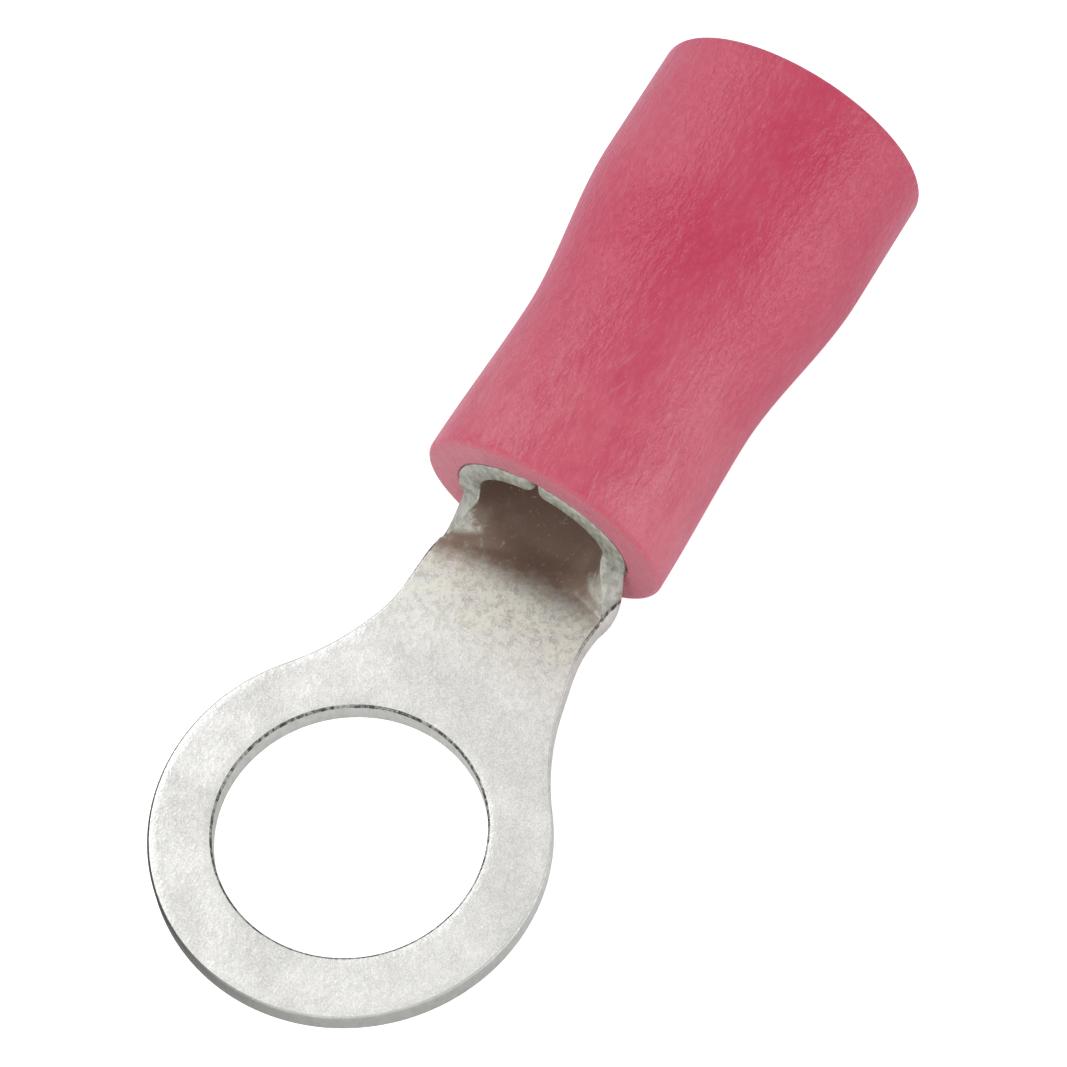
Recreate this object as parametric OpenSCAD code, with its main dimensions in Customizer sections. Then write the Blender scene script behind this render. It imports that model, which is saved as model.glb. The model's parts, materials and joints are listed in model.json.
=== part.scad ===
// Insulated ring terminal for a crimped wire end.
// One stamped and rolled sheet carries the stud ring, the neck and the crimp barrel.
// A soft sleeve grips the barrel and flares out to take the insulation of the wire.
// The origin is the centre of the stud hole, on the underside of the tongue.
// +X runs towards the wire, +Z is the side with the barrel seam.

/* [Stud ring] */
// Diameter of the stud hole
hole_d = 5.3; // [4.8:0.1:5.8]
// Outside diameter of the ring
ring_od = 7.8; // [7.2:0.1:9.0]
// Thickness of the sheet, the same in the ring, the neck and the barrel
sheet = 0.5; // [0.4:0.05:0.7]

/* [Neck] */
// Width of the neck where it is narrowest
neck_w = 3.8; // [3.4:0.02:4.0]
// Radius of the curve that leads from the ring into the neck
neck_blend_r = 5.4; // [4.0:0.1:6.0]
// Length of the wing edge, from where the neck starts to curl up to the rim of the barrel
wing_len = 1.5; // [1.2:0.05:1.7]
// Angle between the wing edge and the length of the sheet, when it lies flat
wing_angle = 67; // [60:1:72]
// Radius of the corner at the foot of the wing edge
wing_r = 0.5; // [0.3:0.05:0.6]
// Length over which the floor of the neck sinks to the floor of the barrel
sink_len = 0.85; // [0.7:0.05:1.2]

/* [Crimp barrel] */
// Distance from the hole centre to the front rim of the barrel
barrel_x = 7.1; // [6.9:0.05:8]
// Length of the barrel
barrel_len = 4.4; // [3.6:0.1:5.2]
// Outside diameter of the barrel
barrel_od = 3.8; // [3.4:0.05:4.1]
// Height of the barrel axis over the tongue underside, at the front rim
barrel_h = 1.56; // [1.2:0.02:1.9]
// Angle at which the barrel rises from the tongue
barrel_rise = 7; // [0:0.5:9]
// Gap between the two edges that meet in the seam
seam_gap = 0.06; // [0.04:0.01:0.15]
// Rounding of the sheet corners at both ends of the seam
seam_corner_r = 0.21; // [0.1:0.01:0.3]
// Depth of the grip grooves inside the barrel
groove_depth = 0.08; // [0.04:0.01:0.12]
// Width of each grip groove
groove_w = 0.3; // [0.2:0.05:0.4]
// Distance from one grip groove to the next
groove_pitch = 0.8; // [0.7:0.05:0.9]

/* [Insulating sleeve] */
// Length of the sleeve
sleeve_len = 9.9; // [8.5:0.1:11]
// Outside diameter of the front end
front_od = 5.3; // [5.0:0.02:5.6]
// Outside diameter at the waist, where the sleeve is narrowest
waist_od = 5.12; // [4.9:0.02:5.5]
// Distance from the front of the sleeve to the waist
waist_x = 3.6; // [3.0:0.1:4.2]
// Outside diameter of the flared wire end
flare_od = 5.92; // [5.6:0.02:6.6]
// Length over which the sleeve widens from the waist to the flare
flare_run = 3.8; // [2.6:0.1:4.2]
// Wall thickness of the flared end
flare_wall = 0.6; // [0.45:0.05:0.8]
// Rounding of the front outside edge
front_edge_r = 0.14; // [0.08:0.02:0.3]
// Rounding of the edges at the wire end
entry_edge_r = 0.12; // [0.06:0.02:0.2]
// How far the barrel rim stands out of the front of the sleeve
rim_proud = 0.02; // [0:0.01:0.2]
// Gap all round between the barrel and the sleeve bore
sleeve_clearance = 0.01; // [0.005:0.005:0.03]

/* [Hidden] */
$fn = 96;

ring_r = ring_od / 2;
neck_hw = neck_w / 2;
barrel_r = barrel_od / 2;
bore_r = barrel_r - sheet;
// Radius of the middle of the rolled sheet
roll_r = barrel_r - sheet / 2;

// Centre of the blend arc beside the neck, where it touches the ring and the neck edge
blend_x = sqrt(pow(ring_r + neck_blend_r, 2) - pow(neck_hw + neck_blend_r, 2));
blend_y = neck_hw + neck_blend_r;
// Half width of the tongue where the ring ends and the blend begins
ring_end_y = ring_r * blend_y / (ring_r + neck_blend_r);

// The sides curl up from here to the rim of the barrel
curl_x = barrel_x - wing_len;
// Sections along the curl, and steps across each half of its flat floor and of its rolled side
curl_steps = 26;
floor_steps = 5;
side_steps = 9;
// The rolled side has at least this width in each section, so that no two points coincide
side_min = sheet / 2;
// The curl runs this far into the tongue and into the barrel wall.
// It gets this much thinner on each side towards the barrel, and is this much smaller in the tongue,
// so that no edge of it lies on an edge of either.
curl_lap = 0.3 * sheet;
curl_inset = sheet / 50;
root_share = 0.98;

// Flare steps of the sleeve and steps of each rounded edge
flare_steps = 20;
edge_steps = 6;

function smooth(u) = let (c = min(1, max(0, u))) c * c * (3 - 2 * c);

// Arc that leaves a straight edge after d and turns away from it with radius r
function arc_rise(d, r) = let (c = min(r, max(0, d))) r - sqrt(r * r - c * c);

// Width of the rolled side at x, measured along the sheet: a rounded foot, then a straight slant
function side_arc(x) =
    let (d = min(wing_len, max(0, x - curl_x)), foot = wing_r * sin(wing_angle))
    arc_rise(min(d, foot), wing_r) + max(0, d - foot) * tan(wing_angle);

// Angle through which the side is rolled at x
function side_turn(x) = side_arc(x) / roll_r * 180 / PI;

// How far the sides are rolled, and how far the floor has sunk, from 0 in the tongue to 1 in the barrel
function rolled(x) = smooth((x - curl_x) / wing_len);
function sunk(x) = smooth((x - barrel_x) / sink_len + 1);

// Half width over the outside at x, and the flat half of the floor that this leaves
rim_hw = barrel_r * sin(min(90, side_turn(barrel_x)));
function outer_hw(x) = rolled(x) * rim_hw
    + (1 - rolled(x)) * (neck_hw + arc_rise(blend_x - x, neck_blend_r));
function floor_hw(x) = max(0, outer_hw(x) - barrel_r * sin(min(90, side_turn(x))));

// Middle of the sheet on the centre line, blended from the tongue into the barrel floor
function floor_x(x) = x + sunk(x) * (roll_r * sin(barrel_rise)
    - (barrel_x - x) * (cos(barrel_rise) - 1));
function floor_z(x) = (1 - sunk(x)) * sheet / 2
    + sunk(x) * (barrel_h - roll_r * cos(barrel_rise) - (barrel_x - x) * sin(barrel_rise));

// Point of the curl at x, at u across the sheet and v outwards from its middle.
// The floor is flat in the middle and turns up on both sides with the radius of the barrel.
function curl_point(x, u, v) =
    let (
        turn = max(0, abs(u) - floor_hw(x)) / roll_r * 180 / PI,
        side = min(abs(u), floor_hw(x)) + (roll_r + v) * sin(turn),
        up = roll_r - (roll_r + v) * cos(turn),
        tilt = sunk(x) * barrel_rise
    )
    [floor_x(x) - up * sin(tilt), sign(u) * side, floor_z(x) + up * cos(tilt)];

// Place across the sheet at x of step j, counted from the centre line
function cross_u(x, j) =
    let (
        side = max(side_arc(x), side_min),
        floor = floor_hw(x) + side_arc(x) - side,
        k = abs(j)
    )
    sign(j) * (k <= floor_steps ? floor * k / floor_steps : floor + side * (k - floor_steps) / side_steps);

// Outline of the sheet at x: along the outside, then back along the inside
function curl_section(x) =
    let (v = sheet / 2 - rolled(x) * curl_inset, last = floor_steps + side_steps)
    concat(
        [for (j = [-last : last]) curl_point(x, cross_u(x, j), v)],
        [for (j = [last : -1 : -last]) curl_point(x, cross_u(x, j), -v)]
    );

// Root of the curl: the flat section of the neck, made smaller and set back into the tongue
function root_section() =
    [for (p = curl_section(curl_x))
        [curl_x - curl_lap, p[1] * root_share, sheet / 2 + (p[2] - sheet / 2) * root_share]];

// Skin over a list of sections. Each holds one side of the sheet, then the other side back again
module skin(sections) {
    count = len(sections[0]);
    last = len(sections) - 1;
    polyhedron(
        points = [for (s = sections) each s],
        faces = concat(
            [for (j = [0 : count / 2 - 2]) [j, j + 1, count - 2 - j, count - 1 - j]],
            [for (i = [0 : last - 1], j = [0 : count - 1])
                let (k = (j + 1) % count)
                each [
                    [i * count + j, (i + 1) * count + j, (i + 1) * count + k],
                    [i * count + j, (i + 1) * count + k, i * count + k]
                ]],
            [for (j = [0 : count / 2 - 2])
                let (a = last * count)
                [a + count - 1 - j, a + count - 2 - j, a + j + 1, a + j]]
        )
    );
}

// Moves a child from the barrel's own frame, axis along +X, to its place on the tongue
module at_barrel() {
    translate([barrel_x, 0, barrel_h])
        rotate([0, -barrel_rise, 0])
            children();
}

// Flat ring and the flat part of the neck
module tongue() {
    linear_extrude(height = sheet)
        difference() {
            union() {
                circle(r = ring_r);
                difference() {
                    translate([0, -ring_end_y])
                        square([min(blend_x, curl_x), 2 * ring_end_y]);
                    for (side = [-1, 1])
                        translate([blend_x, side * blend_y])
                            circle(r = neck_blend_r);
                }
                translate([0, -neck_hw])
                    square([curl_x, neck_w]);
            }
            circle(d = hole_d);
        }
}

// Neck that curls up from the flat tongue into the trough of the barrel.
// The last two of its even steps straddle the rim, so no section lies in the plane of the rim.
module curl() {
    skin(concat(
        [root_section()],
        [for (i = [1 : curl_steps]) curl_section(curl_x + wing_len * i / (curl_steps - 0.5))],
        [curl_section(barrel_x + curl_lap)]
    ));
}

// Sheet corner cut away on both sides of the seam, with its point on the end of the barrel
module seam_corner() {
    w = seam_gap / 2 + seam_corner_r;
    difference() {
        translate([0, -w])
            square([seam_corner_r, 2 * w]);
        for (side = [-1, 1])
            translate([seam_corner_r, side * w])
                circle(r = seam_corner_r);
    }
}

// Rolled barrel in its own frame: front rim at x = 0, seam on top
module barrel() {
    difference() {
        rotate([0, 90, 0])
            cylinder(r = barrel_r, h = barrel_len);
        translate([-sheet, 0, 0])
            rotate([0, 90, 0])
                cylinder(r = bore_r, h = barrel_len + 2 * sheet);
        translate([-sheet, -seam_gap / 2, 0])
            cube([barrel_len + 2 * sheet, seam_gap, 2 * barrel_r]);
        linear_extrude(height = 2 * barrel_r)
            seam_corner();
        translate([barrel_len, 0, 0])
            mirror([1, 0, 0])
                linear_extrude(height = 2 * barrel_r)
                    seam_corner();
        for (i = [-1, 0, 1])
            translate([barrel_len / 2 + i * groove_pitch - groove_w / 2, 0, 0])
                rotate([0, 90, 0])
                    cylinder(r = bore_r + groove_depth, h = groove_w);
    }
}

module terminal() {
    color([0.79, 0.79, 0.77])
        union() {
            tongue();
            curl();
            at_barrel()
                barrel();
        }
}

// S curve in steps from [x0, r0] to [x1, r1]
function s_curve(x0, x1, r0, r1) =
    [for (i = [0 : flare_steps]) let (u = i / flare_steps) [x0 + (x1 - x0) * u, r0 + (r1 - r0) * smooth(u)]];

// Rounded corner about the point [x, y], from angle a0 to a1
function corner(x, y, r, a0, a1) =
    [for (i = [0 : edge_steps]) let (a = a0 + (a1 - a0) * i / edge_steps) [x + r * cos(a), y + r * sin(a)]];

// Sleeve in the barrel's own frame, turned from a profile of distance along the axis and radius
module sleeve_body() {
    front = rim_proud;
    waist = front + waist_x;
    flare = waist + flare_run;
    back = front + sleeve_len;
    grip_r = barrel_r + sleeve_clearance;
    entry_r = flare_od / 2 - flare_wall;
    profile = concat(
        [[front, grip_r]],
        corner(front + front_edge_r, front_od / 2 - front_edge_r, front_edge_r, 180, 90),
        s_curve(front + front_edge_r, waist, front_od / 2, waist_od / 2),
        s_curve(waist, flare, waist_od / 2, flare_od / 2),
        corner(back - entry_edge_r, flare_od / 2 - entry_edge_r, entry_edge_r, 90, 0),
        corner(back - entry_edge_r, entry_r + entry_edge_r, entry_edge_r, 0, -90),
        s_curve(flare, barrel_len, entry_r, grip_r)
    );
    rotate([0, 90, 0])
        rotate_extrude()
            polygon([for (p = profile) [p[1], p[0]]]);
}

module insulating_sleeve() {
    color([0.78, 0.25, 0.38])
        at_barrel()
            sleeve_body();
}

terminal();
insulating_sleeve();
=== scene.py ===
"""Looks of an insulated ring terminal: a punched and rolled tinned sheet in a soft vinyl sleeve.

The sheet is cut flat first, as a blank with its ring, neck, wings and barrel, and then rolled.
The sleeve is turned about the barrel's axis. All sizes are in metres, in the frame of the CAD part.
"""
import json
import math

import bmesh
import bpy
from bpy.props import FloatProperty, FloatVectorProperty, PointerProperty
from mathutils import Matrix, Vector


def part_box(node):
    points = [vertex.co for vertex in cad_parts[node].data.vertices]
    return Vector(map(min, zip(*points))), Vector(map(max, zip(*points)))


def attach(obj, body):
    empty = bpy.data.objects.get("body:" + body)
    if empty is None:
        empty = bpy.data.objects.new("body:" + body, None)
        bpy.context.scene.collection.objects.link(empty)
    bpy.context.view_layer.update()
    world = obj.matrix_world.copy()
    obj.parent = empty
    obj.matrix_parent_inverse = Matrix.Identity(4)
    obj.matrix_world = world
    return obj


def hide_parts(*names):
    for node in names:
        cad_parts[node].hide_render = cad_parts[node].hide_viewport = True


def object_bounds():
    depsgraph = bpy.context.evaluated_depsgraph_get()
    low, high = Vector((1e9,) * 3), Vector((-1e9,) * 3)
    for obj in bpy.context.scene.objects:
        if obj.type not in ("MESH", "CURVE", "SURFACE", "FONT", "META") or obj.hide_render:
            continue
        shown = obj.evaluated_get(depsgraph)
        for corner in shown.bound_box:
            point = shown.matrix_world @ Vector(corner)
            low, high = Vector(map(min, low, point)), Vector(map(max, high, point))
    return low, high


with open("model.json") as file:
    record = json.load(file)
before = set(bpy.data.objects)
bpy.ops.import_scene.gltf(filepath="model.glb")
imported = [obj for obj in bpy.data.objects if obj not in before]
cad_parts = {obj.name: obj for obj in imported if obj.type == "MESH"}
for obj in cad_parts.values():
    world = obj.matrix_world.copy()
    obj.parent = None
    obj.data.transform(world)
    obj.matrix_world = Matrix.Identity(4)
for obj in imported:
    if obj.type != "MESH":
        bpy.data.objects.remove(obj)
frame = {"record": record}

bl_info = {
    "name": "Ring terminal",
    "version": (1, 0, 0),
    "blender": (4, 5, 0),
    "location": "View3D > Sidebar > Ring terminal",
    "description": "Builds an insulated ring terminal with its finishes, floor, lamps and camera",
    "category": "Object",
}

MM = 0.001
CAD_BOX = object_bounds()
TERMINAL_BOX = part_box("terminal")
SLEEVE_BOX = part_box("insulating_sleeve")
MOUNTS = {mount["name"]: mount for mount in frame["record"]["mounts"]}


def mount_size(mount, key):
    """A size of one of the part's mounts, in metres."""
    return MOUNTS[mount]["dims"][key] * MM


def size(name, default, description):
    """A length that a user can set, in metres."""
    return FloatProperty(name=name, description=description, default=default, min=0.0,
                         unit="LENGTH", precision=6)


def colour(name, default, description):
    """A colour that a user can set."""
    return FloatVectorProperty(name=name, description=description, default=default, size=3,
                               min=0.0, max=1.0, subtype="COLOR")


# ---------------------------------------------------------------- sizes and colours

class RingTerminalSheet(bpy.types.PropertyGroup):
    """Sizes of the punched and rolled sheet."""
    hole_r: size("Hole radius", mount_size("stud_hole", "r_mm"), "Radius of the stud hole")
    ring_r: size("Ring radius", TERMINAL_BOX[1][1], "Outside radius of the ring")
    thickness: size("Sheet", mount_size("stud_hole", "length_mm"), "Thickness of the sheet")
    neck_half: size("Neck half width", 1.9 * MM, "Half the width of the neck where it is narrowest")
    blend_r: size("Neck blend", 5.4 * MM, "Radius of the curve from the ring into the neck")
    wing_len: size("Wing length", 0.95 * MM, "Length over which the neck curls up to the rim")
    bulge: size("Wing bulge", 0.12 * MM, "How far each wing bulges out between neck and rim")
    sway: size("Neck sway", 0.1 * MM, "How far the neck strays to the side between ring and barrel")
    edge_bend: FloatProperty(
        name="Edge bend", default=5.0, min=1.0,
        description="How closely the bend starts at the neck's edges; 1 bends the whole width alike")
    rim_turn: FloatProperty(
        name="Rim turn", description="Angle through which each wing is rolled where it meets the rim",
        default=math.radians(94), subtype="ANGLE")
    sink_len: size("Sink length", 1.0 * MM, "Length over which the floor sinks into the barrel")
    barrel_x: size("Barrel place", 7.1 * MM, "Distance from the hole centre to the front rim")
    barrel_h: size("Barrel height", 1.56 * MM, "Height of the barrel axis at the front rim")
    barrel_bore: size("Barrel bore", mount_size("wire_barrel", "r_mm"), "Inside radius of the barrel")
    barrel_len: size("Barrel length", mount_size("wire_barrel", "length_mm"), "Length of the barrel")
    barrel_rise: FloatProperty(
        name="Barrel rise", description="Angle at which the barrel rises from the tongue",
        default=math.asin(MOUNTS["wire_barrel"]["axis"][2]), subtype="ANGLE")
    seam_gap: size("Seam gap", 0.06 * MM, "Gap between the two edges that meet in the seam")
    seam_corner: size("Seam corner", 0.21 * MM, "Rounding of the sheet corners at the seam's ends")
    groove_depth: size("Groove depth", 0.08 * MM, "Depth of the grip grooves in the barrel")
    groove_w: size("Groove width", 0.3 * MM, "Width of each grip groove")
    groove_pitch: size("Groove pitch", 0.8 * MM, "Distance from one grip groove to the next")
    edge_round: size("Edge rounding", 0.045 * MM, "Rounding that punching leaves on every edge")


class RingTerminalSleeve(bpy.types.PropertyGroup):
    """Sizes of the vinyl sleeve, along and around the barrel's axis."""
    length: size("Length", 9.9 * MM, "Length of the sleeve")
    grip_r: size("Grip radius", 1.91 * MM, "Inside radius over the barrel")
    front_r: size("Front radius", 2.65 * MM, "Outside radius of the front end")
    waist_r: size("Waist radius", 2.56 * MM, "Outside radius at the waist")
    waist_x: size("Waist place", 3.6 * MM, "Distance from the front to the waist")
    flare_r: size("Flare radius", SLEEVE_BOX[1][1], "Outside radius of the wire end")
    flare_run: size("Flare run", 3.8 * MM, "Length over which the sleeve widens")
    entry_r: size("Entry radius", mount_size("wire_entry", "r_mm"), "Inside radius of the wire end")
    front_edge: size("Front edge", 0.14 * MM, "Rounding of the front outside edge")
    entry_edge: size("Entry edge", 0.12 * MM, "Rounding of the edges at the wire end")
    set_back: size("Set back", 0.02 * MM, "How far the front lies behind the barrel's rim")


class RingTerminalColours(bpy.types.PropertyGroup):
    """Colours of the finishes."""
    tin: colour("Tin", (0.82, 0.815, 0.80), "Satin tin plating")
    tin_shade: colour("Tin shade", (0.57, 0.565, 0.54), "Darker grains of the plating")
    tin_scratch: colour("Tin scratch", (0.95, 0.945, 0.92), "Fine bright scratches in the plating")
    tin_stain: colour("Tin stain", (0.84, 0.855, 0.73), "Dull yellowish stains in the tin")
    tin_cut: colour("Tin on cut edges", (0.37, 0.385, 0.315), "Thin plating on the sheared edges")
    # Torn metal colours the grimy lines along the sheared edges and also the painted shade on one side
    # of the ring's outer wall
    tin_torn_and_shade: colour("Torn metal", (0.045, 0.045, 0.04), "Grime along the sheared edges")
    # The barrel's dark brown is tarnishing and also painted shade: it is darkened to stand in for the
    # shade and dark reflections inside the bore
    barrel_tarnish_and_shade: colour("Barrel tarnish", (0.27, 0.18, 0.135), "Dark tarnish inside the barrel")
    barrel_speck: colour("Barrel speck", (0.46, 0.39, 0.33), "Small pale specks in the tarnish")
    vinyl: colour("Vinyl", (0.60, 0.030, 0.100), "Body colour of the sleeve")
    # Pale vinyl serves the random bloom, and also the painted sheen near the front and the painted
    # light on the front face
    vinyl_bloom_and_painted_light: colour("Pale vinyl", (0.74, 0.18, 0.235), "Bloomed parts of the sleeve")
    vinyl_rubbed: colour("Rubbed vinyl", (0.72, 0.32, 0.38), "Pale scratches in the sleeve")
    vinyl_sheen: colour("Vinyl sheen", (0.80, 0.62, 1.0), "Cool sheen where the sleeve turns away")


class RingTerminalStage(bpy.types.PropertyGroup):
    """Floor, lamps and camera."""
    floor_size: size("Floor size", 1.2, "Width of the floor")
    floor_colour: colour("Floor", (0.88, 0.88, 0.88), "Colour of the floor")
    key_power: FloatProperty(name="Key lamp", description="Power of the lamp above one side",
                             default=0.075, subtype="POWER")
    fill_power: FloatProperty(name="Fill lamp", description="Power of the lamp opposite",
                              default=0.085, subtype="POWER")
    front_power: FloatProperty(name="Front lamp", description="Power of the lamp at the ring's end",
                               default=0.07, subtype="POWER")
    sky: FloatProperty(name="Surroundings", description="Brightness of the pale room", default=0.55)
    camera_place: FloatVectorProperty(
        name="Camera place", description="Where the camera stands",
        default=(-25.392 * MM, -23.825 * MM, 72.001 * MM), size=3, subtype="TRANSLATION")
    camera_target: FloatVectorProperty(
        name="Camera target", description="What the camera points at",
        default=(6.287 * MM, -0.386 * MM, 2.746 * MM), size=3, subtype="TRANSLATION")
    camera_roll: FloatProperty(name="Camera roll", description="Turn of the camera about its view",
                               default=math.radians(-5.52), subtype="ANGLE")
    lens: FloatProperty(name="Lens", description="Focal length on a 36 mm sensor", default=139.74)


# ---------------------------------------------------------------- shape of the sheet

# How finely the sheet and the sleeve are divided
ROWS = 24
TOP_ROWS = 22
RING_STEPS = 110
RING_LOOPS = 6
BLEND_STEPS = 8
NECK_STEPS = 12
CURL_STEPS = 16
BEND_STEPS = 24
CORNER_ANGLES = (0, 40, 60, 75, 90)
WIDEST_COLUMN = 0.25 * MM
SLEEVE_STEPS = 144

# How the sheet is bent, as shares of the way along the curl, and where its neck begins to stray
FOOT_SHARE = 0.35
BEND_SHARE = 0.7
SWAY_START = 4.4 * MM

# Which edges are rounded: those that turn sharply, and less in the tight corners
SHARP_ANGLE = math.radians(50)
CORNER_WEIGHT = 0.4
RIM_CORNER_UP = 0.3 * MM
RIM_CORNER_ALONG = 0.2 * MM

# Groove walls, as a share of a groove's width, and the grooves' numbers from the middle one
WALL_SHARE = 0.02
GROOVES = (-1, 0, 1)

# Smallest differences between places and between angles
NEAR = 1e-7
NEAR_TURN = 1e-6


def smooth(step):
    """Smooth step from 0 to 1."""
    step = min(1.0, max(0.0, step))
    return step * step * (3 - 2 * step)


def arc_rise(distance, radius):
    """How far an arc that leaves a straight edge has turned away from it after a distance."""
    distance = min(radius, max(0.0, distance))
    return radius - math.sqrt(radius ** 2 - distance ** 2)


def even_steps(start, end, steps):
    """Places from start to end in even steps, both ends included."""
    return [start + (end - start) * step / steps for step in range(steps + 1)]


class SheetForm:
    """The outline of the flat blank, and the way in which it is rolled."""

    def __init__(self, sizes):
        self.sizes = sizes
        self.roll_r = sizes.barrel_bore + sizes.thickness / 2
        self.barrel_r = sizes.barrel_bore + sizes.thickness
        self.curl_x = sizes.barrel_x - sizes.wing_len
        self.blend_y = sizes.neck_half + sizes.blend_r
        self.blend_x = math.sqrt((sizes.ring_r + sizes.blend_r) ** 2 - self.blend_y ** 2)
        self.ring_end_x = sizes.ring_r * self.blend_x / (sizes.ring_r + sizes.blend_r)

    def rolled(self, x):
        """How far along the curl a place is, from 0 in the tongue to 1 at the rim."""
        return min(1.0, max(0.0, (x - self.curl_x) / self.sizes.wing_len))

    def edge_turn(self, x):
        """Angle through which the sheet's edge is turned, with a soft start at the wing's foot."""
        rolled = self.rolled(x)
        if rolled < FOOT_SHARE:
            eased = rolled * rolled / (2 * FOOT_SHARE)
        else:
            eased = rolled - FOOT_SHARE / 2
        return self.sizes.rim_turn * eased / (1 - FOOT_SHARE / 2)

    def bend(self, x):
        """How the turn grows across the sheet: the power of the distance from the centre line."""
        return 1 + (self.sizes.edge_bend - 1) * max(0.0, 1 - self.rolled(x) / BEND_SHARE) ** 2

    def sunk(self, x):
        """How far the floor has sunk, from 0 in the tongue to 1 in the barrel."""
        return smooth((x - self.sizes.barrel_x) / self.sizes.sink_len + 1)

    def swayed(self, x):
        """How far the neck's centre line strays to the side between the ring and the rim."""
        way = (x - SWAY_START) / (self.sizes.barrel_x - SWAY_START)
        return self.sizes.sway * math.sin(math.pi * way) ** 2 if 0 < way < 1 else 0.0

    def bent(self, x, share):
        """Place across and height of a share of the half width, for a half width of 1."""
        turn, power = self.edge_turn(x), self.bend(x)
        angles = [turn * (share * (step + 0.5) / BEND_STEPS) ** power for step in range(BEND_STEPS)]
        return (sum(math.cos(angle) for angle in angles) * share / BEND_STEPS,
                sum(math.sin(angle) for angle in angles) * share / BEND_STEPS)

    def half_width(self, x):
        """Half width over the outside of the neck and the curl."""
        bulge = self.sizes.bulge * math.sin(math.pi * self.rolled(x)) ** 2
        return self.sizes.neck_half + bulge + arc_rise(self.blend_x - x, self.sizes.blend_r)

    def half_blank(self, x):
        """Half width of the flat blank that gives this width once it is rolled."""
        outside = self.sizes.thickness / 2 * math.sin(self.edge_turn(x))
        return (self.half_width(x) - outside) / self.bent(x, 1.0)[0]

    def row(self, x, number):
        """Place across the flat blank of a row, counted from the centre line."""
        return self.half_blank(x) * number / ROWS

    def seam_edge(self, distance):
        """Place across the blank of the seam's edge, at a distance from the rim."""
        sizes = self.sizes
        straight = math.pi * self.roll_r - sizes.seam_gap / 2
        near_end = min(distance, sizes.barrel_len - distance)
        return straight - arc_rise(sizes.seam_corner - near_end, sizes.seam_corner)

    def roll(self, flat):
        """Where a point of the flat blank comes to lie in the middle of the rolled sheet."""
        sizes = self.sizes
        x, width = flat.x, self.half_blank(flat.x)
        side, up = (width * part for part in self.bent(x, abs(flat.y) / width))
        rise, sunk = sizes.barrel_rise, self.sunk(x)
        to_rim = sizes.barrel_x - x
        floor_x = x + sunk * (self.roll_r * math.sin(rise) - to_rim * (math.cos(rise) - 1))
        barrel_floor = sizes.barrel_h - self.roll_r * math.cos(rise) - to_rim * math.sin(rise)
        floor_z = (1 - sunk) * sizes.thickness / 2 + sunk * barrel_floor
        return Vector((floor_x - up * math.sin(sunk * rise),
                       math.copysign(side, flat.y) + self.swayed(x),
                       floor_z + up * math.cos(sunk * rise)))

    def from_axis(self, place):
        """A place's distance behind the rim along the barrel's axis, and its way out from the axis."""
        sizes = self.sizes
        from_rim = place - Vector((sizes.barrel_x, 0, sizes.barrel_h))
        axis = Vector((math.cos(sizes.barrel_rise), 0, math.sin(sizes.barrel_rise)))
        distance = from_rim.dot(axis)
        return distance, from_rim - distance * axis

    def ring_outline(self):
        """Corners round the ring, from one side of the neck over the neck to the other side."""
        sizes = self.sizes
        rows = range(-ROWS, ROWS + 1)
        neck = [Vector((sizes.ring_r, self.row(sizes.ring_r, number), 0)) for number in rows]
        blend = [Vector((x, self.half_width(x), 0))
                 for x in even_steps(sizes.ring_r, self.ring_end_x, BLEND_STEPS)[1:]]
        start = math.acos(self.ring_end_x / sizes.ring_r)
        back = [Vector((math.cos(angle), math.sin(angle), 0)) * sizes.ring_r
                for angle in even_steps(start, 2 * math.pi - start, RING_STEPS)[1:-1]]
        other_blend = [Vector((point.x, -point.y, 0)) for point in reversed(blend)]
        return neck + blend + back + other_blend

    def neck_columns(self):
        """Places along the neck and the curl at which the sheet has a row of corners."""
        flat = even_steps(self.sizes.ring_r, self.curl_x, NECK_STEPS)[1:]
        return flat + even_steps(self.curl_x, self.sizes.barrel_x, CURL_STEPS)[1:]

    def barrel_columns(self):
        """Distances from the rim at which the barrel has a ring of corners."""
        sizes = self.sizes
        front = [sizes.seam_corner * (1 - math.cos(math.radians(angle))) for angle in CORNER_ANGLES]
        rear = [sizes.barrel_len - place for place in reversed(front)]
        middle, half = sizes.barrel_len / 2, sizes.groove_w / 2
        wall = WALL_SHARE * sizes.groove_w
        grooves = [middle + number * sizes.groove_pitch + side * half + step
                   for number in GROOVES for side in (-1, 1) for step in (-wall, wall)]
        places = front + grooves + rear
        filled = [places[0]]
        for start, end in zip(places, places[1:]):
            filled += even_steps(start, end, math.ceil((end - start) / WIDEST_COLUMN))[1:]
        return filled


# ---------------------------------------------------------------- modelling helpers

def new_piece(name):
    """Names the active object as a new piece and gives it its own mesh name."""
    piece = bpy.context.object
    piece.name = name
    piece.data.name = name
    return piece


def select_edges(piece, wanted):
    """Selects, in edit mode, the edges whose two corners are both wanted."""
    mesh = bmesh.from_edit_mesh(piece.data)
    for edge in mesh.edges:
        edge.select_set(False)
    for edge in mesh.edges:
        if all(wanted(corner.co) for corner in edge.verts):
            edge.select_set(True)
    bmesh.update_edit_mesh(piece.data)


def extrude_to(piece, order, places):
    """Extrudes the selected edges, and moves the new corners, sorted by order, to the places."""
    bpy.ops.mesh.extrude_edges_move()
    mesh = bmesh.from_edit_mesh(piece.data)
    corners = sorted((corner for corner in mesh.verts if corner.select),
                     key=lambda corner: order(corner.co))
    for corner, place in zip(corners, places, strict=True):
        corner.co = place
    bmesh.update_edit_mesh(piece.data)


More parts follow.
